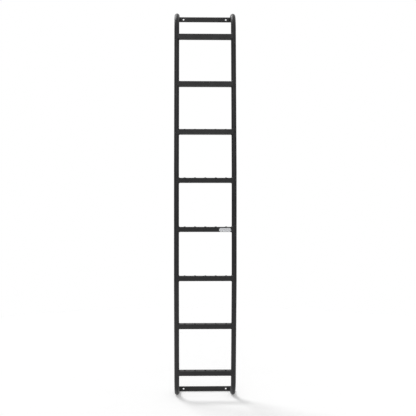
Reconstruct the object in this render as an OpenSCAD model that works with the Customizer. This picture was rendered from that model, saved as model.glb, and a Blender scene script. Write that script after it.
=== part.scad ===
// Side ladder for a high-roof van: two bowed tube stiles, eight square rungs with raised traction
// holes, and a flat mounting bar across the stile ends at the top and at the bottom.
// X runs across the ladder, +Y points to the van and +Z is up. The origin is the centre of the
// lower mounting bar's back face, the face that lies on the van.

/* [Stiles] */
// Outside diameter of the stile tube
tube_od = 28.6; // [25:0.1:34]
// Wall thickness of the stile tube
tube_wall = 3; // [1.5:0.1:4]
// Overall width across the two stiles
ladder_w = 355.6; // [300:0.1:450]
// Centreline radius of every bend in the stiles
bend_r = 102; // [80:1:115]

/* [Side profile] */
// Distance from the van to the centreline of the straight middle of the stiles
stand_off = 245; // [220:1:300]
// Height of the upper mounting bar above the lower one, centre to centre
bar_spacing = 2220; // [2150:1:2400]
// Height at which the lower stretch starts to tuck back towards the van
lower_knee_z = 665; // [600:1:720]
// Height at which the upper stretch starts to lean back towards the van
upper_knee_z = 1288; // [1200:1:1400]
// Lean of the lower stretch, in degrees
lower_tilt = 7.4; // [4:0.1:8]
// Lean of the upper stretch, in degrees
upper_tilt = 5; // [3:0.1:7]

/* [Rungs] */
// How far the front and back of a rung lie inside those of the stile tube
rung_inset = 0.1; // [0.1:0.1:3]
// Wall thickness of the rung tube
rung_wall = 2.5; // [1.5:0.1:3]
// Outside corner radius of the rung tube
rung_corner_r = 1.2; // [1:0.1:4]
// Inside corner radius of the rung tube
rung_inner_r = 0.8; // [0.5:0.1:3]
// Height of the lowest rung above the lower mounting bar, centre to centre
lowest_rung_z = 137.1; // [125:0.1:170]
// Drop from the upper mounting bar to the highest rung, centre to centre
highest_rung_drop = 145.7; // [130:0.1:180]

/* [Traction holes] */
// Number of traction holes in each rung
grip_count = 5; // [3:1:6]
// Distance from one traction hole to the next
grip_pitch = 58.7; // [40:0.1:65]
// Diameter of the hole at its rim
grip_hole_d = 8; // [5:0.5:12]
// Diameter at which the flare leaves the face of the rung
grip_flare_d = 16; // [14:0.5:20]
// Height of the rim above the face of the rung
grip_rise = 2.6; // [1.5:0.1:4]
// Thickness of the flared lip
grip_lip = 1.6; // [1:0.1:2]

/* [Mounting bars] */
// How far a mounting bar reaches above and below the stile tube
bar_lip = 0; // [0:0.1:10]
// Thickness of the mounting bars
bar_t = 6.4; // [4:0.1:10]
// Corner radius of the mounting bars
bar_corner_r = 3; // [1:0.5:8]
// Distance between the two bolt holes of a bar
bolt_spacing = 254; // [200:1:270]
// Diameter of the bolt holes
bolt_hole_d = 10; // [6.5:0.1:13]

/* [Badge plate] */
// Length of the badge plate
badge_l = 68; // [40:1:80]
// Height of the badge plate
badge_h = 21.5; // [12:0.5:21.5]
// Thickness of the badge plate
badge_t = 1.5; // [1:0.1:3]
// Width of the plate's raised rim
badge_rim = 1.5; // [1:0.1:3]
// Depth of the field inside the rim
badge_recess = 0.5; // [0.2:0.1:0.8]
// Distance from the plate's end to the side of the stile
badge_inset = 3.8; // [3:0.1:40]
// Drop from the middle of the rung's face to the middle of the plate
badge_drop = 2.2; // [0:0.1:2.2]

/* [Hidden] */
$fn = 64;
// Distance of each stile's centreline from the middle of the ladder
stile_x = (ladder_w - tube_od) / 2;
rung_size = tube_od - 2 * rung_inset;
rung_count = 8;
bar_h = tube_od + 2 * bar_lip;
// How far the wall of the stile tube draws in, outside and inside, where it is bent
bend_draw = 0.05;
// How far the straight stretches lap over the ends of the bends
lap = 1.5;
// How far a cutting shape runs past the face that it opens
past = 1;
// The rung that carries the badge plate, counted from the bottom
badge_rung = 4;
powder_black = [0.11, 0.11, 0.115];
badge_silver = [0.78, 0.79, 0.8];

// Place along the stile that lies at height z. It equals the height on the straight middle.
function path_at(z) =
    z < lower_knee_z ? lower_knee_z - (lower_knee_z - z) / cos(lower_tilt)
    : z > upper_knee_z ? upper_knee_z + (z - upper_knee_z) / cos(upper_tilt)
    : z;

// Place of rung n along the stile, counted from the bottom. The rungs are evenly spaced.
function rung_path(n) =
    let (first = path_at(lowest_rung_z), last = path_at(bar_spacing - highest_rung_drop))
    first + (last - first) * (n - 1) / (rung_count - 1);

// Side view of the stile at place p along it: [y, z, lean towards the van going up].
function on_stile(p) =
    p < lower_knee_z
        ? [(lower_knee_z - p) * sin(lower_tilt) - stand_off,
           lower_knee_z - (lower_knee_z - p) * cos(lower_tilt),
           -lower_tilt]
    : p > upper_knee_z
        ? [(p - upper_knee_z) * sin(upper_tilt) - stand_off,
           upper_knee_z + (p - upper_knee_z) * cos(upper_tilt),
           upper_tilt]
    : [-stand_off, p, 0];

// Section of a tube, or of a solid rod where the bore is 0.
module section(d, bore) {
    difference() {
        circle(d = d);
        if (bore > 0) circle(d = bore);
    }
}

// Straight tube along +Z, lapped over the bends at its ends. What follows it is placed at its far end.
module straight(d, bore, length, end_lap = lap) {
    translate([0, 0, -lap])
        linear_extrude(height = lap + length + end_lap) section(d, bore);
    translate([0, 0, length]) children();
}

// Tube that bends from +Z towards +Y, with its wall drawn in. What follows it is placed at its far end.
module bend(d, bore, angle) {
    translate([0, bend_r, 0])
        rotate([90, 0, 0]) rotate([0, -90, 0])
            rotate_extrude(angle = angle)
                translate([bend_r, 0]) section(d - 2 * bend_draw, bore > 0 ? bore + 2 * bend_draw : 0);
    translate([0, bend_r * (1 - cos(angle)), bend_r * sin(angle)])
        rotate([-angle, 0, 0]) children();
}

// One end of a stile, from its knee outwards: knee, leaning stretch, end bend and leg to the bar.
module stile_end(d, bore, tilt, rise) {
    knee = bend_r * tan(tilt / 2);
    corner = bend_r * tan((90 - tilt) / 2);
    lean = rise / cos(tilt) - knee - corner;
    leg = stand_off - bar_t - rise * tan(tilt) - corner;
    translate([0, 0, -knee])
        bend(d, bore, tilt)
            straight(d, bore, lean)
                bend(d, bore, 90 - tilt)
                    straight(d, bore, leg, 0);
}

// The whole run of a stile from bar to bar, as a tube, or as a solid rod where the bore is 0.
module stile_run(d, bore = 0) {
    lower_knee = bend_r * tan(lower_tilt / 2);
    upper_knee = bend_r * tan(upper_tilt / 2);
    translate([0, -stand_off, lower_knee_z + lower_knee])
        straight(d, bore, upper_knee_z - upper_knee - lower_knee_z - lower_knee);
    translate([0, -stand_off, lower_knee_z])
        mirror([0, 0, 1]) stile_end(d, bore, lower_tilt, lower_knee_z);
    translate([0, -stand_off, upper_knee_z])
        stile_end(d, bore, upper_tilt, bar_spacing - upper_knee_z);
}

// Bowed round tube whose legs butt against the mounting bars.
module stile() {
    color(powder_black) stile_run(tube_od, tube_od - 2 * tube_wall);
}

// Flat outline with rounded corners, centred.
module rounded_outline(l, h, r) {
    square([l - 2 * r, h], center = true);
    square([l, h - 2 * r], center = true);
    for (x = [-1, 1], y = [-1, 1])
        translate([x * (l / 2 - r), y * (h / 2 - r)]) circle(r = r);
}

// Solid bar of the rung's section from stile axis to stile axis.
module rung_bar(size, corner_r) {
    rotate([90, 0, 90])
        linear_extrude(height = 2 * stile_x, center = true) rounded_outline(size, size, corner_r);
}

// Puts its children at each traction hole of a rung.
module at_grips() {
    for (i = [0 : grip_count - 1])
        translate([(i - (grip_count - 1) / 2) * grip_pitch, 0, rung_size / 2]) children();
}

// Flared lip round a traction hole, rising in a curve from the face at z = 0 to a round rim.
module grip_lip_ring() {
    hole_r = grip_hole_d / 2;
    flare = grip_flare_d / 2 - hole_r - grip_lip;
    flare_h = grip_rise - grip_lip / 2;
    flare_r = (flare * flare + flare_h * flare_h) / (2 * flare_h);
    rotate_extrude() {
        translate([hole_r, -rung_wall]) square([grip_lip, rung_wall + flare_h]);
        translate([hole_r + grip_lip / 2, flare_h]) circle(d = grip_lip);
        difference() {
            translate([hole_r + grip_lip / 2, -rung_wall / 2])
                square([flare + grip_lip / 2, rung_wall / 2 + flare_h]);
            translate([grip_flare_d / 2, flare_r]) circle(r = flare_r);
        }
    }
}

// Opening of a traction hole: a flare in the inner face of the wall below a straight hole.
module grip_opening() {
    translate([0, 0, -rung_wall - past])
        cylinder(d1 = grip_flare_d - 2 * grip_lip, d2 = grip_hole_d, h = rung_wall + past);
    translate([0, 0, -past]) cylinder(d = grip_hole_d, h = grip_rise + 2 * past);
}

// Square tube with flared traction holes in its tread and ends coped to fit round the stiles.
module rung(n) {
    seat = on_stile(rung_path(n));
    color(powder_black)
        difference() {
            translate([0, seat[0], seat[1]]) rotate([-seat[2], 0, 0])
                difference() {
                    union() {
                        rung_bar(rung_size, rung_corner_r);
                        at_grips() grip_lip_ring();
                    }
                    rung_bar(rung_size - 2 * rung_wall, rung_inner_r);
                    at_grips() grip_opening();
                }
            for (side = [-1, 1])
                translate([side * stile_x, 0, 0]) stile_run(tube_od);
        }
}

// Flat bar across the stile ends, its back face on the van, with two bolt holes.
module mounting_bar(z) {
    color(powder_black)
        translate([0, 0, z]) rotate([90, 0, 0])
            linear_extrude(height = bar_t)
                difference() {
                    rounded_outline(ladder_w, bar_h, bar_corner_r);
                    for (side = [-1, 1])
                        translate([side * bolt_spacing / 2, 0]) circle(d = bolt_hole_d);
                }
}

// Outline with half-round ends, centred.
module pill_outline(l, h) {
    square([l - h, h], center = true);
    for (side = [-1, 1])
        translate([side * (l - h) / 2, 0]) circle(d = h);
}

// Small plate with a raised rim on the front face of a rung, at the rung's right end.
module badge_plate() {
    seat = on_stile(rung_path(badge_rung));
    badge_x = stile_x - tube_od / 2 - badge_inset - badge_l / 2;
    color(badge_silver)
        translate([0, seat[0], seat[1]]) rotate([-seat[2], 0, 0])
            translate([badge_x, -rung_size / 2, -badge_drop]) rotate([90, 0, 0])
                difference() {
                    linear_extrude(height = badge_t) pill_outline(badge_l, badge_h);
                    translate([0, 0, badge_t - badge_recess])
                        linear_extrude(height = badge_recess + past)
                            pill_outline(badge_l - 2 * badge_rim, badge_h - 2 * badge_rim);
                }
}

translate([-stile_x, 0, 0]) stile();  // left_stile
translate([stile_x, 0, 0]) stile();  // right_stile
rung(1);  // rung_1
rung(2);  // rung_2
rung(3);  // rung_3
rung(4);  // rung_4
rung(5);  // rung_5
rung(6);  // rung_6
rung(7);  // rung_7
rung(8);  // rung_8
mounting_bar(0);  // lower_mounting_bar
mounting_bar(bar_spacing);  // upper_mounting_bar
badge_plate();
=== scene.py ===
import math

import bmesh
import bpy
from mathutils import Matrix, Vector


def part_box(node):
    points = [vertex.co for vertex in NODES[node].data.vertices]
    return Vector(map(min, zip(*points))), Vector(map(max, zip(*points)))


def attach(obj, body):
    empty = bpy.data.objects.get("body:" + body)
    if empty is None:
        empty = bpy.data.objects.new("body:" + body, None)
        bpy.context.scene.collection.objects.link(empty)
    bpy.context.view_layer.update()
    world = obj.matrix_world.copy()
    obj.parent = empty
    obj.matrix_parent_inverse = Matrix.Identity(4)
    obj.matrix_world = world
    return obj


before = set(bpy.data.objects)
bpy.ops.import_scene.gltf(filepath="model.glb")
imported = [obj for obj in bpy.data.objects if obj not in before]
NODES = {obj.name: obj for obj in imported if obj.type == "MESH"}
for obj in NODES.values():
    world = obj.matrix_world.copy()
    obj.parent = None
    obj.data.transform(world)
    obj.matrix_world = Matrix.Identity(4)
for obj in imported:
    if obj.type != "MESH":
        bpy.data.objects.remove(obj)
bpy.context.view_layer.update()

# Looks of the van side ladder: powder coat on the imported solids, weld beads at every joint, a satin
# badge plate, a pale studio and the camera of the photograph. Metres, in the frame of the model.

RUNGS = range(1, 9)

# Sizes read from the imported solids
stile_low, stile_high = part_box("left_stile")
bar_low, bar_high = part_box("lower_mounting_bar")
level_low, level_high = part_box("rung_4")
TUBE_R = (stile_high.x - stile_low.x) / 2
STILE_X = -(stile_high.x + stile_low.x) / 2
RUNG_SIZE = level_high.y - level_low.y
BAR_H = bar_high.z - bar_low.z
BAR_W = bar_high.x - bar_low.x
BAR_FRONT_Y = bar_low.y
FLOOR_Z = bar_low.z

# Sizes that the boxes don't show, as in the model's source
RUNG_CORNER_R = 0.0012
BAR_CORNER_R = 0.003
LOWER_KNEE_Z = 0.665
UPPER_KNEE_Z = 1.288
LOWER_TILT = math.radians(7.4)
UPPER_TILT = math.radians(5.0)

# Weld beads
RIPPLE_PITCH = 0.003
RIPPLE_H = 0.00028
STEPS_PER_RIPPLE = 8
BEAD_STEPS = 8
FILLET_LEG = 0.0042
FLUSH_LEG = 0.0030
FILLET_CROWN = 0.0004
FLUSH_CROWN = 0.0006
BEAD_ROOT = 0.0008
BEAD_TOE = 0.00025
BEAD_WANDER = ((0.05, 3, 0.0), (0.04, 5, 1.0))
TOE_SCALLOP = 0.09
RIPPLE_LEAN = 0.35
RIPPLE_LEVEL = 0.6
WIDEST_REACH = 1.14
LEAST_CLIMB = 0.3
SEARCH_STEPS = 200

# Camera and light
CAMERA_AT = (-0.06293, -4.1477, 1.0874)
CAMERA_TURN = (math.radians(90), 0.0, -0.02)
CAMERA_LENS = 59.586
CAMERA_SENSOR = 36.0
KEY_FROM = Vector((-0.54, 0.56, 1.0))
KEY_STRENGTH = 1.7
KEY_ANGLE = math.radians(26)
FRONT_FROM = Vector((-0.1, -1.0, 0.35))
FRONT_STRENGTH = 0.5
FRONT_ANGLE = math.radians(35)
AMBIENT = 0.5
GROUND_SHADE = 0.08
GRADIENT_FROM = -0.25
GRADIENT_TO = 0.55
FLOOR_COLOUR = 0.8
FLOOR_LIFT = 0.25
FLOOR_R = 3.5
FLOOR_TINT = 0.005
FLOOR_SIDES = 96


def mesh_piece(name, verts, faces):
    """New smooth-shaded object from points and faces, with its faces turned outwards."""
    mesh = bpy.data.meshes.new(name)
    mesh.from_pydata(verts, [], faces)
    bm = bmesh.new()
    bm.from_mesh(mesh)
    bmesh.ops.recalc_face_normals(bm, faces=bm.faces)
    bm.to_mesh(mesh)
    bm.free()
    mesh.polygons.foreach_set("use_smooth", [True] * len(mesh.polygons))
    piece = bpy.data.objects.new(name, mesh)
    bpy.context.scene.collection.objects.link(piece)
    return piece


def loop_faces(rings, across, start=0):
    """Quads of a closed band of rings, each a closed section of so many points."""
    faces = []
    for i in range(rings):
        for j in range(across):
            a = start + i * across + j
            b = start + i * across + (j + 1) % across
            c = start + (i + 1) % rings * across + (j + 1) % across
            d = start + (i + 1) % rings * across + j
            faces.append((a, b, c, d))
    return faces


def bead_section(seat, step, count):
    """Closed section of a bead at one seat, crowned and rippled as metal laid down in a row of drops."""
    point, normal_a, normal_b, toe_a, toe_b, crown, ripple = seat
    out = (normal_a + normal_b).normalized()
    turn = 2 * math.pi * step / count
    wander = sum(size * math.sin(waves * turn + phase) for size, waves, phase in BEAD_WANDER)
    section = []
    for k in range(BEAD_STEPS + 1):
        u = k / BEAD_STEPS
        hump = 4 * u * (1 - u)
        drop = abs(math.sin(math.pi * (step / STEPS_PER_RIPPLE + RIPPLE_LEAN * hump)))
        reach = 1 + wander + TOE_SCALLOP * (drop - 0.5) * (1 - hump)
        on_chord = point + ((toe_a - point) * (1 - u) + (toe_b - point) * u) * reach
        lift = crown * hump * (1 + wander) + ripple * (drop - RIPPLE_LEVEL) * math.sin(math.pi * u)
        section.append(on_chord + out * lift)
    section[0] = section[0] - normal_a * BEAD_TOE
    section[-1] = section[-1] - normal_b * BEAD_TOE
    section.append(point - out * BEAD_ROOT)
    return section


def bead_mesh(seats):
    """Points and faces of one closed bead through its seats."""
    verts = []
    for step, seat in enumerate(seats):
        verts += bead_section(seat, step, len(seats))
    return verts, loop_faces(len(seats), BEAD_STEPS + 2)


def bead_piece(name, beads):
    """One object from several beads, each with the matrix that puts it in place."""
    verts, faces = [], []
    for seats, place in beads:
        points, quads = bead_mesh(seats)
        faces += [tuple(i + len(verts) for i in quad) for quad in quads]
        verts += [place @ p for p in points]
    piece = mesh_piece(name, verts, faces)
    piece.data.materials.append(POWDER_COAT)
    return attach(piece, "root")


def seam_steps(length):
    """Number of steps round a closed seam, a whole number of ripples."""
    return STEPS_PER_RIPPLE * round(length / RIPPLE_PITCH)


def rung_outline():
    """Points round the rung's section with their outward normals, as (y, z, ny, nz)."""
    flat = RUNG_SIZE / 2 - RUNG_CORNER_R
    quarter = 2 * flat + math.pi / 2 * RUNG_CORNER_R
    count = seam_steps(4 * quarter)
    points = []
    for i in range(count):
        side, s = divmod(4 * quarter * i / count, quarter)
        turn = max(0.0, s - 2 * flat) / RUNG_CORNER_R
        t = min(s, 2 * flat) - flat + RUNG_CORNER_R * math.sin(turn)
        n = flat + RUNG_CORNER_R * math.cos(turn)
        for _ in range(int(side)):
            t, n = n, -t
        ny, nz = math.sin(turn), math.cos(turn)
        for _ in range(int(side)):
            ny, nz = nz, -ny
        points.append((t, n, ny, nz))
    return points


def rung_seam():
    """Seats of the bead where a rung meets a stile, with the stile's axis on Z and the rung towards +X."""
    seats = []
    for y, z, ny, nz in rung_outline():
        x = math.sqrt(TUBE_R ** 2 - y ** 2)
        point = Vector((x, y, z))
        on_rung = Vector((0, ny, nz))
        on_tube = Vector((x, y, 0)) / TUBE_R
        flush = max(0.0, on_rung.dot(on_tube))
        leg = FILLET_LEG + (FLUSH_LEG - FILLET_LEG) * flush
        crown = FILLET_CROWN + (FLUSH_CROWN - FILLET_CROWN) * flush
        up_tube = on_rung.cross(on_tube).cross(on_tube).normalized()
        if up_tube.dot(on_rung) < 0:
            up_tube.negate()
        toe = point + up_tube * leg
        round_tube = Vector((toe.x, toe.y, 0)).normalized() * TUBE_R
        seats.append((point, on_rung, on_tube, point + Vector((leg, 0, 0)),
                      Vector((round_tube.x, round_tube.y, toe.z)), crown, RIPPLE_H))
    return seats


def rung_place(n):
    """Matrix of rung n: its centre in the side view, and its lean."""
    low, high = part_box(f"rung_{n}")
    middle = (low.z + high.z) / 2
    lean = -LOWER_TILT if middle < LOWER_KNEE_Z else UPPER_TILT if middle > UPPER_KNEE_Z else 0.0
    flat = RUNG_SIZE / 2 - RUNG_CORNER_R
    reach = flat * (math.cos(lean) + abs(math.sin(lean))) + RUNG_CORNER_R
    centre = Vector((0, (low.y + high.y) / 2, low.z + reach))
    return Matrix.Translation(centre) @ Matrix.Rotation(-lean, 4, "X")


def rung_welds():
    """A bead round both ends of every rung."""
    seam = rung_seam()
    left = Matrix.Translation((-STILE_X, 0, 0))
    right = Matrix.Translation((STILE_X, 0, 0)) @ Matrix.Rotation(math.pi, 4, "Z")
    for n in RUNGS:
        place = rung_place(n)
        bead_piece(f"weld_rung_{n}", [(seam, place @ left), (seam, place @ right)])


def room_on_bar(x, z):
    """Distance from the stile's axis, in the direction (x, z), to the rounded outline of a bar."""
    flat_x, flat_z = BAR_W / 2 - BAR_CORNER_R, BAR_H / 2 - BAR_CORNER_R
    step = TUBE_R / SEARCH_STEPS
    reach = 0.0
    while reach < 2 * TUBE_R:
        over_x = max(0.0, STILE_X - (reach + step) * x - flat_x)
        over_z = max(0.0, abs((reach + step) * z) - flat_z)
        if math.hypot(over_x, over_z) > BAR_CORNER_R:
            break
        reach += step
    return reach


def bar_seam():
    """Seats of the bead where a stile's end meets a bar, for the left stile, with the bar's face at y = 0.

    The bead is only as wide as the bar has room for, and sinks into the tube where it has none.
    """
    count = seam_steps(2 * math.pi * TUBE_R)
    seats = []
    for i in range(count):
        angle = 2 * math.pi * i / count
        out = Vector((math.cos(angle), 0, math.sin(angle)))
        room = max(0.0, min(FILLET_LEG, (room_on_bar(out.x, out.z) - TUBE_R) / WIDEST_REACH))
        share = room / FILLET_LEG
        climb = LEAST_CLIMB * FILLET_LEG + (1 - LEAST_CLIMB) * room
        point = out * TUBE_R
        seats.append((point, Vector((0, -1, 0)), out, point + out * room,
                      point - Vector((0, climb, 0)), FILLET_CROWN * share, RIPPLE_H * share))
    return seats


def bar_welds():
    """A bead round the end of each stile, on both bars."""
    seam = bar_seam()
    for name in ("lower", "upper"):
        low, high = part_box(f"{name}_mounting_bar")
        place = Matrix.Translation((0, BAR_FRONT_Y, (low.z + high.z) / 2))
        left = place @ Matrix.Translation((-STILE_X, 0, 0))
        right = place @ Matrix.Translation((STILE_X, 0, 0)) @ Matrix.Scale(-1, 4, (1, 0, 0))
        bead_piece(f"weld_{name}_bar", [(seam, left), (seam, right)])


def new_material(name):
    """Empty node material with a Principled shader. Returns the material, its tree and the shader."""
    material = bpy.data.materials.new(name)
    material.use_nodes = True
    tree = material.node_tree
    tree.nodes.clear()
    shader = tree.nodes.new("ShaderNodeBsdfPrincipled")
    output = tree.nodes.new("ShaderNodeOutputMaterial")
    tree.links.new(shader.outputs["BSDF"], output.inputs["Surface"])
    return material, tree, shader


def noise(tree, scale, detail=2.0, rough=0.5, stretch=(1, 1, 1)):
    """Noise over the object's own coordinates. Scale is in cells a metre."""
    place = tree.nodes.new("ShaderNodeTexCoord")
    mapping = tree.nodes.new("ShaderNodeMapping")
    mapping.inputs["Scale"].default_value = stretch
    texture = tree.nodes.new("ShaderNodeTexNoise")
    texture.inputs["Scale"].default_value = scale
    texture.inputs["Detail"].default_value = detail
    texture.inputs["Roughness"].default_value = rough
    tree.links.new(place.outputs["Object"], mapping.inputs["Vector"])
    tree.links.new(mapping.outputs["Vector"], texture.inputs["Vector"])
    return texture.outputs["Fac"]


def spread(tree, value, low, high, start=0.3, end=0.7):
    """Maps a noise value to a range."""
    node = tree.nodes.new("ShaderNodeMapRange")
    node.inputs["From Min"].default_value = start
    node.inputs["From Max"].default_value = end
    node.inputs["To Min"].default_value = low
    node.inputs["To Max"].default_value = high
    tree.links.new(value, node.inputs["Value"])
    return node.outputs["Result"]


def blend_colours(tree, value, first, second):
    """Mixes two colours by a value from 0 to 1."""
    node = tree.nodes.new("ShaderNodeMix")
    node.data_type = "RGBA"
    node.inputs["A"].default_value = (*first, 1)
    node.inputs["B"].default_value = (*second, 1)
    tree.links.new(value, node.inputs["Factor"])
    return node.outputs["Result"]


def bump(tree, height, distance, strength=1.0, normal=None):
    """Bump from a height, on top of another normal."""
    node = tree.nodes.new("ShaderNodeBump")
    node.inputs["Strength"].default_value = strength
    node.inputs["Distance"].default_value = distance
    tree.links.new(height, node.inputs["Height"])
    if normal is not None:
        tree.links.new(normal, node.inputs["Normal"])
    return node.outputs["Normal"]


def powder_coat():
    """Satin black powder coat: a fine orange peel, with slow changes of gloss and of depth of colour."""
    material, tree, shader = new_material("powder_coat_satin_black")
    shader.inputs["Specular IOR Level"].default_value = 0.3
    shade = spread(tree, noise(tree, 9.0, 3.0), 0.0, 1.0)
    tree.links.new(blend_colours(tree, shade, (0.017, 0.017, 0.018), (0.023, 0.023, 0.024)),
                   shader.inputs["Base Color"])
    tree.links.new(spread(tree, noise(tree, 22.0, 4.0), 0.40, 0.50), shader.inputs["Roughness"])
    peel = bump(tree, noise(tree, 700.0, 2.0), 0.00010, 0.55)
    grain = bump(tree, noise(tree, 2600.0, 1.0), 0.00003, 0.5, peel)
    tree.links.new(grain, shader.inputs["Normal"])
    return material


def badge_silver():
    """Satin silver plate with a faint brushed grain along its length."""
    material, tree, shader = new_material("badge_satin_silver")
    shader.inputs["Metallic"].default_value = 0.6
    grain = noise(tree, 60.0, 3.0, 0.6, (1, 30, 30))
    shade = spread(tree, grain, 0.0, 1.0)
    tree.links.new(blend_colours(tree, shade, (0.66, 0.67, 0.69), (0.78, 0.79, 0.81)),
                   shader.inputs["Base Color"])
    tree.links.new(spread(tree, grain, 0.30, 0.42), shader.inputs["Roughness"])
    tree.links.new(bump(tree, grain, 0.00003, 0.4), shader.inputs["Normal"])
    return material


def dress_nodes():
    """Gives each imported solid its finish."""
    for name, node in NODES.items():
        finish = BADGE_SILVER if name == "badge_plate" else POWDER_COAT
        for slot in node.material_slots:
            slot.material = finish


def seen_directly(tree):
    """1 for rays that show the background: from the camera, off a gloss or through glass."""
    path = tree.nodes.new("ShaderNodeLightPath")
    first = tree.nodes.new("ShaderNodeMath")
    first.operation = "MAXIMUM"
    second = tree.nodes.new("ShaderNodeMath")
    second.operation = "MAXIMUM"
    tree.links.new(path.outputs["Is Camera Ray"], first.inputs[0])
    tree.links.new(path.outputs["Is Glossy Ray"], first.inputs[1])
    tree.links.new(first.outputs[0], second.inputs[0])
    tree.links.new(path.outputs["Is Transmission Ray"], second.inputs[1])
    return second.outputs[0]


def studio_floor():
    """White floor that keeps the soft shadows."""
    material, tree, shader = new_material("studio_floor")
    tint = spread(tree, noise(tree, 3.0), FLOOR_COLOUR - FLOOR_TINT, FLOOR_COLOUR + FLOOR_TINT)
    colour = tree.nodes.new("ShaderNodeCombineColor")
    for channel in ("Red", "Green", "Blue"):
        tree.links.new(tint, colour.inputs[channel])
    tree.links.new(colour.outputs["Color"], shader.inputs["Base Color"])
    shader.inputs["Roughness"].default_value = 1.0
    shader.inputs["Specular IOR Level"].default_value = 0.0
    shader.inputs["Emission Color"].default_value = (1, 1, 1, 1)
    lift = spread(tree, seen_directly(tree), 0.0, FLOOR_LIFT, 0.0, 1.0)
    tree.links.new(lift, shader.inputs["Emission Strength"])
    turns = [2 * math.pi * i / FLOOR_SIDES for i in range(FLOOR_SIDES)]
    rim = [(FLOOR_R * math.cos(a), FLOOR_R * math.sin(a), FLOOR_Z) for a in turns]
    mesh = bpy.data.meshes.new("studio_floor")
    mesh.from_pydata(rim, [], [tuple(range(FLOOR_SIDES))])
    mesh.materials.append(material)
    floor = bpy.data.objects.new("studio_floor", mesh)
    bpy.context.scene.collection.objects.link(floor)


def studio_world():
    """White surroundings that shade off towards the ground, and light the ladder at a plain level."""
    world = bpy.data.worlds.new("studio")
    world.use_nodes = True
    tree = world.node_tree
    background = tree.nodes["Background"]
    place = tree.nodes.new("ShaderNodeTexCoord")
    split = tree.nodes.new("ShaderNodeSeparateXYZ")
    tree.links.new(place.outputs["Generated"], split.inputs["Vector"])
    shade = spread(tree, split.outputs["Z"], GROUND_SHADE, 1.0, GRADIENT_FROM, GRADIENT_TO)
    path = tree.nodes.new("ShaderNodeLightPath")
    lit = tree.nodes.new("ShaderNodeMath")
    lit.operation = "MAXIMUM"
    tree.links.new(shade, lit.inputs[0])
    tree.links.new(path.outputs["Is Camera Ray"], lit.inputs[1])
    tree.links.new(lit.outputs[0], background.inputs["Color"])
    strength = spread(tree, seen_directly(tree), AMBIENT, 1.0, 0.0, 1.0)
    tree.links.new(strength, background.inputs["Strength"])
    bpy.context.scene.world = world


def soft_sun(name, towards, strength, angle):
    """Large soft light from far off in one direction."""
    lamp = bpy.data.lights.new(name, "SUN")
    lamp.energy = strength
    lamp.angle = angle
    sun = bpy.data.objects.new(name, lamp)
    sun.rotation_euler = towards.to_track_quat("Z", "Y").to_euler()
    bpy.context.scene.collection.objects.link(sun)


def photo_camera():
    """Camera at the photograph's place."""
    lens = bpy.data.cameras.new("photo_camera")
    lens.lens = CAMERA_LENS
    lens.sensor_width = CAMERA_SENSOR
    camera = bpy.data.objects.new("photo_camera", lens)
    camera.location = CAMERA_AT
    camera.rotation_euler = CAMERA_TURN
    bpy.context.scene.collection.objects.link(camera)
    bpy.context.scene.camera = camera


POWDER_COAT = powder_coat()
BADGE_SILVER = badge_silver()
photo_camera()
dress_nodes()
rung_welds()
bar_welds()
studio_floor()
studio_world()
soft_sun("key", KEY_FROM, KEY_STRENGTH, KEY_ANGLE)
soft_sun("front", FRONT_FROM, FRONT_STRENGTH, FRONT_ANGLE)
bpy.context.scene.view_settings.view_transform = "Standard"
